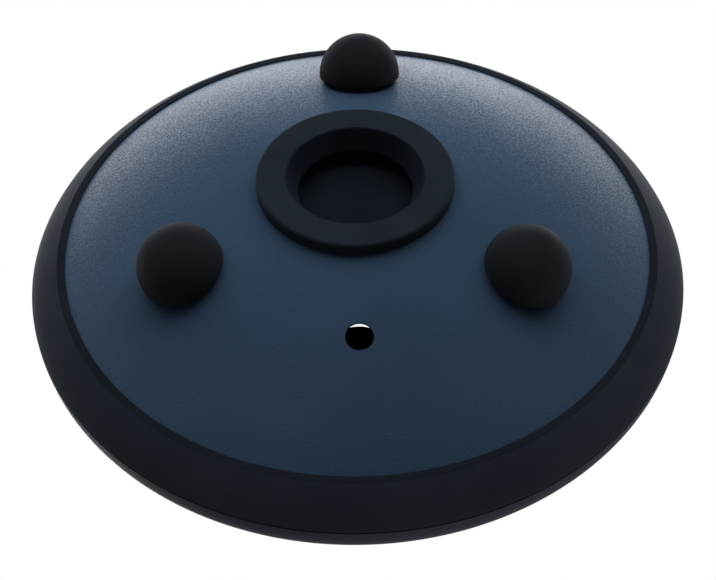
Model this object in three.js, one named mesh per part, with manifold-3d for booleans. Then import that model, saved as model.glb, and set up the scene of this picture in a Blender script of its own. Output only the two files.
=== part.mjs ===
// A steel tongue drum: two domed steel shells that meet at the rim inside a rubber band.
// The top shell has nine tongues. The bottom shell has a port with a rubber collar, and three rubber feet.
// Millimetres, +Z up. The drum stands on its feet at z = 0, and its axis is the Z axis.
import * as THREE from "three";
import { mergeVertices } from "three/addons/utils/BufferGeometryUtils.js";
import Module from "manifold-3d";

const wasm = await Module();
wasm.setup();

// Shells. Heights are from the plane where the two shells meet.
const SHEET = 1.5; // steel thickness
const RIM_RADIUS = 194; // outside of the shells' edges where they meet
const RIM_GAP = 0.3; // between the two edges
const WALL_LEAN = THREE.MathUtils.degToRad(32); // of the walls, inward from upright
const SHOULDER_ROUND = 6; // outside radius between a wall and its dome
const BOTTOM_WALL_HEIGHT = 14.8; // to the sharp corner that the shoulder rounds
const BOTTOM_DOME_RISE = 57.2; // of the dome's pole over that corner
const TOP_WALL_HEIGHT = 17.5;
const TOP_DOME_RISE = 70.5;

// Rim band
const SEAT_GAP = 0.3; // between a rubber or steel piece and what it sits on
const BAND_WALL = 6; // rubber outside the shells' edges
const LIP_REACH = 6.4; // of the lip over the dome, past the shoulder
const LIP_RISE = 0.9; // of the lip's inner edge over the dome
const LIP_WIDTH = 4.7;
const LIP_FALL = 0.7; // of the lip's outer edge from its inner one
const LOWER_FACE_INSET = 4; // of the lower face's curve handle, from the band's outside
const LOWER_FACE_DROP = 10.5; // of the same handle, from the lip's inner edge
const UPPER_FACE_INSET = 0.2;
const UPPER_FACE_DROP = 0.2;
const PARTING_HALF_WIDTH = 0.6; // of the groove at the parting line
const PARTING_DEPTH = 0.8;

// Port collar and plug. Depths are measured inward from the collar's face.
const PORT_RADIUS = 46; // hole in the bottom shell
const COLLAR_RADIUS = 58.4;
const COLLAR_EDGE = 7.8; // height of the collar's face over the shell at its outer edge
const COLLAR_EDGE_ROUND = 1.6;
const MOUTH_RADIUS = 40.4;
const MOUTH_ROUND = 1.6;
const THROAT_RADIUS = 34;
const THROAT_DEPTH = 12.5;
const THROAT_LIP = 2; // thickness of the throat's lower edge
const INNER_FLANGE_REACH = 6; // of the collar's flange inside the shell, past the hole
const INNER_FLANGE_THICKNESS = 3.5;
const SLEEVE_WALL = 4;
const PLUG_RADIUS = 37.5;
const PLUG_DEPTH = 23; // of the plug's face
const PLUG_THICKNESS = 3;
const PLUG_EDGE_ROUND = 0.8;
const LEDGE_WIDTH = 4; // of the collar's ledge that holds the plug
const LEDGE_THICKNESS = 3;

// Sound vent
const VENT_RADIUS = 8;
const VENT_INSET = 86.5; // of the vent's middle from the shells' edges
const VENT_ANGLE = 267.7; // degrees about the drum's axis
const DRILL_LENGTH = 12; // of the cutters for the vent and the screw holes

// Feet. The first foot is at FIRST_FOOT_ANGLE, and each one points straight out of the shell.
const FOOT_COUNT = 3;
const FIRST_FOOT_ANGLE = 90; // degrees
const FOOT_INSET = 80; // of the circle through the middles of the domes, from the shells' edges
const FOOT_RADIUS = 25.5; // of the dome
const FOOT_RISE = 3.7; // of the dome's middle over the shell
const FOOT_BEVEL = 1.3; // at the base
const FOOT_FLAT_DEPTH = 0.4; // cut off the dome where it rests

// Fixing of a foot: a bush in the rubber, and a screw and washer from inside the drum
const SCREW_RADIUS = 3;
const SCREW_LENGTH = 16; // under the head
const SCREW_HEAD_RADIUS = 5.5;
const SCREW_HEAD_HEIGHT = 3.6;
const SOCKET_SIDES = 6;
const SOCKET_RADIUS = 2.3; // of the socket in the screw's head, to its corners
const SOCKET_DEPTH = 2;
const SCREW_CLEARANCE = 0.3;
const WASHER_RADIUS = 9;
const WASHER_THICKNESS = 1.2;
const INSERT_WALL = 2.6;
const INSERT_LENGTH = 14;
const INSERT_SETBACK = 0.8; // of the bush from the foot's base

// Tongues. The ring's tongues have their roots outside and their round tips towards the middle.
const RING_ORDER = [0, 2, 4, 6, 7, 5, 3, 1]; // rank of each tongue, from the lowest note to the highest
const RING_PITCH = 360 / RING_ORDER.length; // degrees
const FIRST_TONGUE_ANGLE = 270; // degrees
const ROOT_INSET = 38; // of the roots from the shells' edges
const TIP_CIRCLE = 60; // distance of the longest tongue's tip from the drum's axis
const TIP_CIRCLE_STEP = 3; // from one rank to the next
const WIDEST_ROOT = 62;
const ROOT_STEP = 1.2;
const WIDEST_TIP = 34;
const TIP_STEP = 0.5;
const SLOT = 3; // width of the slots
const SLOT_END_RADIUS = 3.2; // round end of a slot
const ROOT_SEAM = 0.3; // between a tongue's root and the shell
const CENTRE_LENGTH = 56;
const CENTRE_ROOT_WIDTH = 46;
const CENTRE_TIP_WIDTH = 40;
const CENTRE_ROOT_OFFSET = 35; // of the middle tongue's root from the drum's axis
const CENTRE_ANGLE = 270; // degrees, direction of its root

// Facets
const TURNS = 48; // round the drum's axis
const FOOT_TURNS = 24;
const FIXING_TURNS = 12;
const DOME_STEPS = 8;
const ROUND_STEPS = 2;
const FACE_STEPS = 5;
const TIP_STEPS = 8;
const BASE_STEPS = 2;
const MERGE_DISTANCE = 1e-4; // under which two points of a mesh are one

const paint = (colour, roughness, metalness) => () =>
  new THREE.MeshStandardMaterial({ color: colour, roughness, metalness });
const navyCoat = paint(0x2b3a50, 0.5, 0.2);
const blackRubber = paint(0x15181c, 0.75, 0);
const plainSteel = paint(0x9a9c9e, 0.35, 1);
const brassBush = paint(0xb08d4a, 0.4, 1);

const drum = new THREE.Group();

function addPiece(parent, name, geometry, material) {
  const mesh = new THREE.Mesh(geometry, material());
  mesh.name = name;
  parent.add(mesh);
  return mesh;
}

const polar = (radius, angle) => [radius * Math.sin(angle), radius * Math.cos(angle)];

// Points on an arc about (r, h). Angles are from the upright, turning outward.
function arcPoints([r, h], radius, from, to, steps) {
  return Array.from({ length: steps + 1 }, (_, i) => {
    const [x, y] = polar(radius, from + ((to - from) * i) / steps);
    return [r + x, h + y];
  });
}

function signedArea(points) {
  return points.reduce((sum, [x, y], i) => {
    const [nextX, nextY] = points[(i + 1) % points.length];
    return sum + (x * nextY - nextX * y) / 2;
  }, 0);
}

// A closed [radius, z] outline turned about the Z axis
function turned(outline, turns = TURNS) {
  const ring = signedArea(outline) > 0 ? outline : [...outline].reverse();
  const points = [...ring, ring[0]].map(([r, z]) => new THREE.Vector2(r, z));
  return new THREE.LatheGeometry(points, turns).rotateX(Math.PI / 2);
}

function toSolid(geometry) {
  const bare = geometry.clone();
  bare.deleteAttribute("normal");
  bare.deleteAttribute("uv");
  const merged = mergeVertices(bare, MERGE_DISTANCE);
  const faces = [];
  for (let i = 0; i < merged.index.count; i += 3) {
    const [a, b, c] = merged.index.array.slice(i, i + 3);
    if (a !== b && b !== c && c !== a) faces.push(a, b, c);
  }
  const vertProperties = new Float32Array(merged.attributes.position.array);
  return new wasm.Manifold(
    new wasm.Mesh({ numProp: 3, vertProperties, triVerts: new Uint32Array(faces) }),
  );
}

function toGeometry(solid) {
  const { vertProperties, triVerts } = solid.getMesh();
  const geometry = new THREE.BufferGeometry();
  geometry.setAttribute("position", new THREE.BufferAttribute(vertProperties, 3));
  geometry.setIndex(new THREE.BufferAttribute(triVerts, 1));
  geometry.computeVertexNormals();
  return geometry;
}

const rod = (radius, length, turns) =>
  new THREE.CylinderGeometry(radius, radius, length, turns).rotateX(Math.PI / 2);

// A shell's section, as heights over the plane where the shells meet. grow moves the whole
// surface outward, so the same section gives the sheet's two sides and what seats on them.
class Section {
  constructor(wallHeight, rise) {
    const corner = RIM_RADIUS - wallHeight * Math.tan(WALL_LEAN);
    this.height = wallHeight + rise;
    this.radius = (corner ** 2 + rise ** 2) / (2 * rise);
    this.middle = this.height - this.radius;
    const wallOut = RIM_RADIUS * Math.cos(WALL_LEAN) - SHOULDER_ROUND;
    const across = wallOut - this.middle * Math.sin(WALL_LEAN);
    const reach = this.radius - SHOULDER_ROUND;
    this.shoulderAngle = Math.PI / 2 - WALL_LEAN - Math.acos(across / reach);
    const [r, h] = polar(reach, this.shoulderAngle);
    this.shoulder = [r, this.middle + h];
  }

  domeHeight(r, grow = 0) {
    return this.middle + Math.sqrt((this.radius + grow) ** 2 - r ** 2);
  }

  dome(fromRadius, toAngle, grow) {
    const fromAngle = Math.asin(fromRadius / (this.radius + grow));
    return arcPoints([0, this.middle], this.radius + grow, fromAngle, toAngle, DOME_STEPS);
  }

  shoulderArc(grow) {
    const wallAngle = Math.PI / 2 - WALL_LEAN;
    return arcPoints(this.shoulder, SHOULDER_ROUND + grow, this.shoulderAngle, wallAngle, ROUND_STEPS);
  }

  wallFoot(height, grow) {
    return [RIM_RADIUS + grow / Math.cos(WALL_LEAN) - height * Math.tan(WALL_LEAN), height];
  }

  surface(fromRadius, grow) {
    const dome = this.dome(fromRadius, this.shoulderAngle, grow);
    return [...dome, ...this.shoulderArc(grow).slice(1), this.wallFoot(RIM_GAP / 2, grow)];
  }

  sheet(fromRadius) {
    return [...this.surface(fromRadius, 0), ...this.surface(fromRadius, -SHEET).reverse()];
  }
}

const bottom = new Section(BOTTOM_WALL_HEIGHT, BOTTOM_DOME_RISE);
const top = new Section(TOP_WALL_HEIGHT, TOP_DOME_RISE);

// The feet set how high the rim stands.
const footReach = bottom.radius + FOOT_RISE;
const footTilt = Math.asin((RIM_RADIUS - FOOT_INSET) / footReach);
const footDrop = bottom.middle + footReach * Math.cos(footTilt);
const rimZ = footDrop + FOOT_RADIUS - FOOT_FLAT_DEPTH;
const above = ([r, h]) => [r, rimZ + h];
const below = ([r, h]) => [r, rimZ - h];

// Bottom shell
function makeBottomShell() {
  let shell = toSolid(turned(bottom.sheet(PORT_RADIUS).map(below)));
  const drill = (radius, turns, tilt, angle) => {
    const cutter = rod(radius, DRILL_LENGTH, turns);
    cutter.translate(0, 0, -bottom.radius + SHEET / 2);
    cutter.rotateY(-tilt);
    cutter.translate(0, 0, rimZ - bottom.middle);
    shell = shell.subtract(toSolid(cutter.rotateZ(THREE.MathUtils.degToRad(angle))));
  };
  for (const angle of footAngles) {
    drill(SCREW_RADIUS + SCREW_CLEARANCE, FIXING_TURNS, footTilt, angle);
  }
  const ventTilt = Math.asin((RIM_RADIUS - VENT_INSET) / bottom.radius);
  drill(VENT_RADIUS, FOOT_TURNS, ventTilt, VENT_ANGLE);
  addPiece(drum, "bottom_shell", toGeometry(shell), navyCoat);
}

// Rim band
function bandFace(section, inset, drop) {
  const lipStart = section.shoulder[0] + SHOULDER_ROUND * Math.sin(section.shoulderAngle) - LIP_REACH;
  const lipTop = section.domeHeight(lipStart) + LIP_RISE;
  const edge = new THREE.Vector2(lipStart + LIP_WIDTH, lipTop - LIP_FALL);
  const outside = new THREE.Vector2(RIM_RADIUS + BAND_WALL, PARTING_HALF_WIDTH);
  const handle = new THREE.Vector2(outside.x - inset, lipTop - drop);
  const curve = new THREE.QuadraticBezierCurve(edge, handle, outside);
  const face = curve.getPoints(FACE_STEPS).map((p) => [p.x, p.y]);
  return { lipStart, outline: [[lipStart, lipTop], ...face] };
}

function makeRimBand() {
  const upper = bandFace(top, UPPER_FACE_INSET, UPPER_FACE_DROP);
  const lower = bandFace(bottom, LOWER_FACE_INSET, LOWER_FACE_DROP);
  const groove = [RIM_RADIUS + BAND_WALL - PARTING_DEPTH, rimZ];
  const seat = (section, lipStart) => {
    const lip = [lipStart, section.domeHeight(lipStart, SEAT_GAP)];
    return [lip, ...section.shoulderArc(SEAT_GAP), section.wallFoot(0, SEAT_GAP)];
  };
  const outer = [...upper.outline.map(above), groove, ...lower.outline.map(below).reverse()];
  const upperSeat = seat(top, upper.lipStart).map(above);
  const lowerSeat = seat(bottom, lower.lipStart).map(below);
  const outline = [...outer, ...lowerSeat, ...upperSeat.reverse().slice(1)];
  addPiece(drum, "rim_band", turned(outline), blackRubber);
}

// Port collar and plug
const collarFace = bottom.domeHeight(COLLAR_RADIUS) + COLLAR_EDGE;
const sleeveRadius = PLUG_RADIUS + SEAT_GAP;

function makePort() {
  const deep = (depth) => collarFace - depth;
  const neckRadius = PORT_RADIUS - SEAT_GAP;
  const flangeRadius = PORT_RADIUS + INNER_FLANGE_REACH;
  const ledgeTop = deep(PLUG_DEPTH + PLUG_THICKNESS + SEAT_GAP);
  const inside = -SHEET - SEAT_GAP;
  const edgeMiddle = [COLLAR_RADIUS - COLLAR_EDGE_ROUND, deep(COLLAR_EDGE_ROUND)];
  const mouthMiddle = [MOUTH_RADIUS + MOUTH_ROUND, deep(MOUTH_ROUND)];
  const quarter = Math.PI / 2;
  const outline = [
    ...arcPoints(mouthMiddle, MOUTH_ROUND, -quarter, 0, ROUND_STEPS),
    ...arcPoints(edgeMiddle, COLLAR_EDGE_ROUND, 0, quarter, ROUND_STEPS),
    [COLLAR_RADIUS, bottom.domeHeight(COLLAR_RADIUS, SEAT_GAP)],
    [neckRadius, bottom.domeHeight(neckRadius, SEAT_GAP)],
    [neckRadius, bottom.domeHeight(neckRadius, inside)],
    [flangeRadius, bottom.domeHeight(flangeRadius, inside)],
    [flangeRadius, bottom.domeHeight(flangeRadius, inside) - INNER_FLANGE_THICKNESS],
    [sleeveRadius + SLEEVE_WALL, bottom.domeHeight(flangeRadius, inside) - INNER_FLANGE_THICKNESS],
    [sleeveRadius + SLEEVE_WALL, ledgeTop - LEDGE_THICKNESS],
    [sleeveRadius - LEDGE_WIDTH, ledgeTop - LEDGE_THICKNESS],
    [sleeveRadius - LEDGE_WIDTH, ledgeTop],
    [sleeveRadius, ledgeTop],
    [sleeveRadius, deep(THROAT_DEPTH + THROAT_LIP)],
    [THROAT_RADIUS, deep(THROAT_DEPTH + THROAT_LIP)],
    [THROAT_RADIUS, deep(THROAT_DEPTH)],
  ];
  addPiece(drum, "port_collar", turned(outline.map(below)), blackRubber);

  const plugEdge = [PLUG_RADIUS - PLUG_EDGE_ROUND, deep(PLUG_DEPTH + PLUG_EDGE_ROUND)];
  const plugOutline = [
    [0, deep(PLUG_DEPTH)],
    ...arcPoints(plugEdge, PLUG_EDGE_ROUND, 0, quarter, ROUND_STEPS),
    [PLUG_RADIUS, deep(PLUG_DEPTH + PLUG_THICKNESS)],
    [0, deep(PLUG_DEPTH + PLUG_THICKNESS)],
  ];
  const plug = toSolid(turned(plugOutline.map(below)));
  addPiece(drum, "port_plug", toGeometry(plug), blackRubber);
}

// Feet and their fixings. Local +Z points out of the shell, from its outside surface.
const footAngles = Array.from(
  { length: FOOT_COUNT },
  (_, i) => FIRST_FOOT_ANGLE + (i * 360) / FOOT_COUNT,
);
const insertRadius = SCREW_RADIUS + SCREW_CLEARANCE + INSERT_WALL;

function footGeometry() {
  const seatHeight = (r) => Math.sqrt((bottom.radius + SEAT_GAP) ** 2 - r ** 2) - bottom.radius;
  const holeRadius = insertRadius + SEAT_GAP;
  const holeDepth = seatHeight(0) + INSERT_SETBACK + INSERT_LENGTH + SEAT_GAP;
  const baseRadius = FOOT_RADIUS - FOOT_BEVEL;
  const bevelTop = seatHeight(baseRadius) + FOOT_BEVEL;
  const bevelAngle = Math.acos((bevelTop - FOOT_RISE) / FOOT_RADIUS);
  const baseRadii = Array.from(
    { length: BASE_STEPS },
    (_, i) => holeRadius + ((baseRadius - holeRadius) * (i + 1)) / BASE_STEPS,
  );
  const outline = [
    [0, holeDepth],
    [holeRadius, holeDepth],
    [holeRadius, seatHeight(holeRadius)],
    ...baseRadii.map((r) => [r, seatHeight(r)]),
    ...arcPoints([0, FOOT_RISE], FOOT_RADIUS, bevelAngle, 0, DOME_STEPS),
  ];
  const dome = toSolid(turned(outline, FOOT_TURNS));
  const floor = new THREE.BoxGeometry(2 * FOOT_RADIUS, 2 * FOOT_RADIUS, FOOT_RADIUS);
  floor.translate(0, 0, FOOT_RADIUS + FOOT_RADIUS / 2 - FOOT_FLAT_DEPTH);
  floor.rotateY(footTilt);
  floor.translate(0, 0, FOOT_RISE);
  return toGeometry(dome.subtract(toSolid(floor)));
}

function makeFeet() {
  const foot = footGeometry();
  const insideRadius = bottom.radius - SHEET;
  const washerSag = insideRadius - Math.sqrt(insideRadius ** 2 - WASHER_RADIUS ** 2);
  const facetSag = insideRadius * (1 - Math.cos(bottom.shoulderAngle / DOME_STEPS / 2));
  const washerTop = -SHEET - washerSag - facetSag - SEAT_GAP;
  const headTop = washerTop - WASHER_THICKNESS - SEAT_GAP;
  const holeRadius = SCREW_RADIUS + SCREW_CLEARANCE;
  const insertBase = SEAT_GAP + INSERT_SETBACK;
  const insert = turned(
    [
      [holeRadius, insertBase],
      [insertRadius, insertBase],
      [insertRadius, insertBase + INSERT_LENGTH],
      [holeRadius, insertBase + INSERT_LENGTH],
    ],
    FIXING_TURNS,
  );
  const washer = turned(
    [
      [holeRadius, washerTop - WASHER_THICKNESS],
      [WASHER_RADIUS, washerTop - WASHER_THICKNESS],
      [WASHER_RADIUS, washerTop],
      [holeRadius, washerTop],
    ],
    FIXING_TURNS,
  );
  const screwOutline = [
    [0, headTop - SCREW_HEAD_HEIGHT],
    [SCREW_HEAD_RADIUS, headTop - SCREW_HEAD_HEIGHT],
    [SCREW_HEAD_RADIUS, headTop],
    [SCREW_RADIUS, headTop],
    [SCREW_RADIUS, headTop + SCREW_LENGTH],
    [0, headTop + SCREW_LENGTH],
  ];
  const socket = rod(SOCKET_RADIUS, 2 * SOCKET_DEPTH, SOCKET_SIDES);
  socket.translate(0, 0, headTop - SCREW_HEAD_HEIGHT);
  const screw = toGeometry(toSolid(turned(screwOutline, FIXING_TURNS)).subtract(toSolid(socket)));

  footAngles.forEach((angle, i) => {
    const turn = new THREE.Group();
    turn.rotation.z = THREE.MathUtils.degToRad(angle);
    drum.add(turn);
    const station = new THREE.Group();
    const [r, h] = polar(bottom.radius, footTilt);
    station.position.set(r, 0, rimZ - bottom.middle - h);
    station.rotation.y = Math.PI - footTilt;
    turn.add(station);
    addPiece(station, `foot_${i + 1}`, foot, blackRubber);
    addPiece(station, `foot_insert_${i + 1}`, insert, brassBush);
    addPiece(station, `foot_screw_${i + 1}`, screw, plainSteel);
    addPiece(station, `foot_washer_${i + 1}`, washer, plainSteel);
  });
}

// Tongues. In plan a tongue's root is at x = root, and its round tip points towards the drum's axis.
const rootCircle = RIM_RADIUS - ROOT_INSET;
const ringTongues = RING_ORDER.map((rank, i) => ({
  name: `tongue_${i + 1}`,
  angle: FIRST_TONGUE_ANGLE + i * RING_PITCH,
  root: rootCircle,
  length: rootCircle - TIP_CIRCLE - rank * TIP_CIRCLE_STEP,
  rootWidth: WIDEST_ROOT - rank * ROOT_STEP,
  tipWidth: WIDEST_TIP - rank * TIP_STEP,
}));
const centreTongue = {
  name: "tongue_centre",
  angle: CENTRE_ANGLE,
  root: CENTRE_ROOT_OFFSET,
  length: CENTRE_LENGTH,
  rootWidth: CENTRE_ROOT_WIDTH,
  tipWidth: CENTRE_TIP_WIDTH,
};
const tongues = [...ringTongues, centreTongue];

// A tongue's plan outline, grown on its sides and tip, with its root edge at rootX
function tonguePlan({ root, length, rootWidth, tipWidth }, grow, rootX) {
  const tip = tipWidth / 2;
  const tipMiddle = root - length + tip;
  const run = root - tipMiddle;
  const taper = Math.asin((rootWidth / 2 - tip) / run);
  const side = tip + grow;
  const tangentX = tipMiddle - side * Math.sin(taper);
  const tangentY = side * Math.cos(taper);
  const rootY = tangentY + (rootX - tangentX) * Math.tan(taper);
  const plan = new THREE.Shape();
  plan.moveTo(rootX, -rootY);
  plan.lineTo(rootX, rootY);
  plan.lineTo(tangentX, tangentY);
  plan.absarc(tipMiddle, 0, side, Math.PI / 2 + taper, 1.5 * Math.PI - taper, false);
  plan.closePath();
  return { plan, rootY };
}

const upright = (plan) =>
  toSolid(
    new THREE.ExtrudeGeometry(plan, {
      depth: top.height,
      bevelEnabled: false,
      curveSegments: TIP_STEPS,
    }).translate(0, 0, rimZ + RIM_GAP),
  );

function slotEnds(tongue) {
  const { rootY } = tonguePlan(tongue, SLOT / 2, tongue.root);
  return [-rootY, rootY].map((y) => {
    const end = rod(SLOT_END_RADIUS, 2 * top.height, FIXING_TURNS);
    return toSolid(end.translate(tongue.root, y, rimZ + top.height));
  });
}

function makeTop() {
  const dome = toSolid(turned(top.sheet(0).map(above)));
  let shell = dome;
  for (const tongue of tongues) {
    const ends = slotEnds(tongue);
    const blank = upright(tonguePlan(tongue, 0, tongue.root - ROOT_SEAM).plan);
    const body = dome.intersect(blank).subtract(ends[0]).subtract(ends[1]);
    const mesh = addPiece(drum, tongue.name, toGeometry(body), navyCoat);
    mesh.rotation.z = THREE.MathUtils.degToRad(tongue.angle);
    const opening = upright(tonguePlan(tongue, SLOT, tongue.root).plan).add(ends[0]).add(ends[1]);
    shell = shell.subtract(opening.rotate([0, 0, tongue.angle]));
  }
  addPiece(drum, "top_shell", toGeometry(shell), navyCoat);
}

makeTop();
makeBottomShell();
makeRimBand();
makePort();
makeFeet();

export default drum;
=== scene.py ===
import bpy
import math
import numpy as np
from mathutils import Matrix, Vector
from mathutils.geometry import delaunay_2d_cdt


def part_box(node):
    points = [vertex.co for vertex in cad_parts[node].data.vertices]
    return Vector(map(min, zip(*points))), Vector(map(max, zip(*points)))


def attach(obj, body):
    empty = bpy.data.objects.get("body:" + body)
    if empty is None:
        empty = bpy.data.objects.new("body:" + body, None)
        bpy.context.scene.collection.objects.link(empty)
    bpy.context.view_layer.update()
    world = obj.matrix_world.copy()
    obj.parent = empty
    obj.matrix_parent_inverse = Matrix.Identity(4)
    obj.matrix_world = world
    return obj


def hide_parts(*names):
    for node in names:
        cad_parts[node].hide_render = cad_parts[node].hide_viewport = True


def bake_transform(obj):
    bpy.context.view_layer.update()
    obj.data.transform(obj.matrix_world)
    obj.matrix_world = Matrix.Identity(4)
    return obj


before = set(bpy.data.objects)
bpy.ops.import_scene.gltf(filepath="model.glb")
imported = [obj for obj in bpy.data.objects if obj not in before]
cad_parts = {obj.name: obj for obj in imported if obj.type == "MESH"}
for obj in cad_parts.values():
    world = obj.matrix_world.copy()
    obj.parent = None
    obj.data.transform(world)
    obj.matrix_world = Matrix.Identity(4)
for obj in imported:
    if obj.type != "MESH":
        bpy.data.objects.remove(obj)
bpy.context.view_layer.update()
scene = bpy.context.scene
mm = 0.001

# all shapes below are in millimetres, in the same frame as the solids
drumShape = {
    "sheet": 1.5,
    "rimRadius": 194.0,
    "rimGap": 0.3,
    "wallLean": math.radians(32),
    "shoulderRound": 6.0,
    "top": {"wall": 17.5, "rise": 70.5},
    "bottom": {"wall": 14.8, "rise": 57.2},
    "turns": 192,        # facets round the drum
    "meshStep": 8.0,     # spacing of the points on the domes
}
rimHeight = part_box("top_shell")[0].z / mm - drumShape["rimGap"] / 2
noiseSpan = (0.3, 0.7)   # most values of a noise node lie between these


# nodes that all the finishes are made of
def newLook(name):
    look = bpy.data.materials.new(name)
    look.use_nodes = True
    nodes, links = look.node_tree.nodes, look.node_tree.links
    return look, nodes, links, nodes["Principled BSDF"]


def noiseNode(nodes, links, place, scale, detail=2.0, rough=0.5):
    noise = nodes.new("ShaderNodeTexNoise")
    noise.inputs["Scale"].default_value = scale
    noise.inputs["Detail"].default_value = detail
    noise.inputs["Roughness"].default_value = rough
    links.new(place.outputs["Object"], noise.inputs["Vector"])
    return noise.outputs["Fac"]


def spread(nodes, links, value, low, high, lowTo, highTo):
    remap = nodes.new("ShaderNodeMapRange")
    ends = {"From Min": low, "From Max": high, "To Min": lowTo, "To Max": highTo}
    for socket, number in ends.items():
        remap.inputs[socket].default_value = number
    links.new(value, remap.inputs["Value"])
    return remap.outputs["Result"]


def mixColours(nodes, links, amount, first, second):
    mix = nodes.new("ShaderNodeMix")
    mix.data_type = "RGBA"
    links.new(amount, mix.inputs["Factor"])
    for label, colour in (("A", first), ("B", second)):
        socket = [s for s in mix.inputs if s.name == label and s.type == "RGBA"][0]
        if isinstance(colour, tuple):
            socket.default_value = (*colour, 1.0)
        else:
            links.new(colour, socket)
    return [s for s in mix.outputs if s.type == "RGBA"][0]


def bumpNode(nodes, links, height, strength, depth):
    bump = nodes.new("ShaderNodeBump")
    bump.inputs["Strength"].default_value = strength
    bump.inputs["Distance"].default_value = depth
    links.new(height, bump.inputs["Height"])
    return bump.outputs["Normal"]


coatLook = {
    "deep": (0.0172, 0.0330, 0.0575),
    "pale": (0.0226, 0.0412, 0.0710),
    "cloudScale": 9.0,       # scales are per metre, depths in metres
    "grainScale": 800.0,
    "grainDepth": 0.00045,
    "grainStrength": 0.6,
    "fleck": (0.35, 0.70),   # heights of the grain where pale flecks come in
    "fleckShare": 0.12,
    "roughness": (0.27, 0.37),
    "gloss": (0.01, 0.28),   # from the pits of the grain to its crests
    "crests": (0.46, 0.70),  # heights of the grain for these two
    "plainGloss": 0.07,      # seen square-on
    "edgeOn": (0.30, 0.60),  # turn away from square-on where the sparkle comes in
    "plainSparkle": 0.15,    # share of the sparkle that is left square-on
    "sheen": 0.1,            # powder grain turns pale where it is seen edge-on
    "sheenTint": (0.90, 0.95, 1.0),
    "sheenSpread": 0.30,
}


def makeCoat():
    look, nodes, links, shader = newLook("navyPowderCoat")
    place = nodes.new("ShaderNodeTexCoord")
    cloud = noiseNode(nodes, links, place, coatLook["cloudScale"], detail=3.0)
    grain = noiseNode(nodes, links, place, coatLook["grainScale"], rough=0.6)
    patches = spread(nodes, links, cloud, *noiseSpan, 0.0, 1.0)
    tone = mixColours(nodes, links, patches, coatLook["deep"], coatLook["pale"])
    fleck = spread(nodes, links, grain, *coatLook["fleck"], 0.0, coatLook["fleckShare"])
    tone = mixColours(nodes, links, fleck, tone, coatLook["pale"])
    links.new(tone, shader.inputs["Base Color"])
    roughness = spread(nodes, links, grain, *noiseSpan, *coatLook["roughness"])
    links.new(roughness, shader.inputs["Roughness"])
    bump = bumpNode(nodes, links, grain, coatLook["grainStrength"], coatLook["grainDepth"])
    links.new(bump, shader.inputs["Normal"])
    crests = spread(nodes, links, grain, *coatLook["crests"], *coatLook["gloss"])
    facing = nodes.new("ShaderNodeLayerWeight").outputs["Facing"]
    sparkle = spread(nodes, links, facing, *coatLook["edgeOn"], coatLook["plainSparkle"], 1.0)
    gloss = nodes.new("ShaderNodeMix")         # the grain sparkles only where it is seen edge-on
    links.new(sparkle, gloss.inputs["Factor"])
    gloss.inputs["A"].default_value = coatLook["plainGloss"]
    links.new(crests, gloss.inputs["B"])
    links.new(gloss.outputs["Result"], shader.inputs["Specular IOR Level"])
    shader.inputs["Sheen Weight"].default_value = coatLook["sheen"]
    shader.inputs["Sheen Tint"].default_value = (*coatLook["sheenTint"], 1.0)
    shader.inputs["Sheen Roughness"].default_value = coatLook["sheenSpread"]
    return look


rubberLook = {
    "bandRubber": {"deep": (0.0134, 0.0175, 0.0245), "pale": (0.0192, 0.0243, 0.0325), "bloom": 0.07},
    # the lips' tone is the band's rubber darkened: painted shade along the thin lips
    "lipPaintedShade": {"deep": (0.0083, 0.0108, 0.0152), "pale": (0.0119, 0.0151, 0.0202)},
    "collarRubber": {"deep": (0.0118, 0.0159, 0.0222), "pale": (0.0170, 0.0222, 0.0294)},
    # the throat's tone is the collar's rubber darkened: painted shade inside the funnel
    "throatPaintedShade": {"deep": (0.0072, 0.0098, 0.0152), "pale": (0.0100, 0.0132, 0.0196)},
    # the plug's tone is the collar's rubber darkened: painted shade deep in the port
    "plugPaintedShade": {"deep": (0.0062, 0.0088, 0.0130), "pale": (0.0088, 0.0124, 0.0174)},
    "footRubber": {"deep": (0.0113, 0.0124, 0.0156), "pale": (0.0154, 0.0165, 0.0203)},
    "cloudScale": 22.0,            # scales are per metre, depths in metres
    "grainScale": 1400.0,
    "grainDepth": 0.00005,
    "grainStrength": 0.25,
    "dust": (0.090, 0.092, 0.095),
    "dustScale": 60.0,
    "speckEdge": (0.018, 0.030),   # a speck fades out between these distances, in cells
    "speckDraw": (0.70, 0.75),     # only the cells that draw more than this hold a speck
    "speckShare": 0.8,
    "roughness": (0.58, 0.70),
    "gloss": 0.025,
    "chalk": 0.7,                  # evens the shade of the matt faces
    "bloomSpread": 0.30,           # bloom is the pale cast of the band where it is seen edge-on
}


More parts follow.
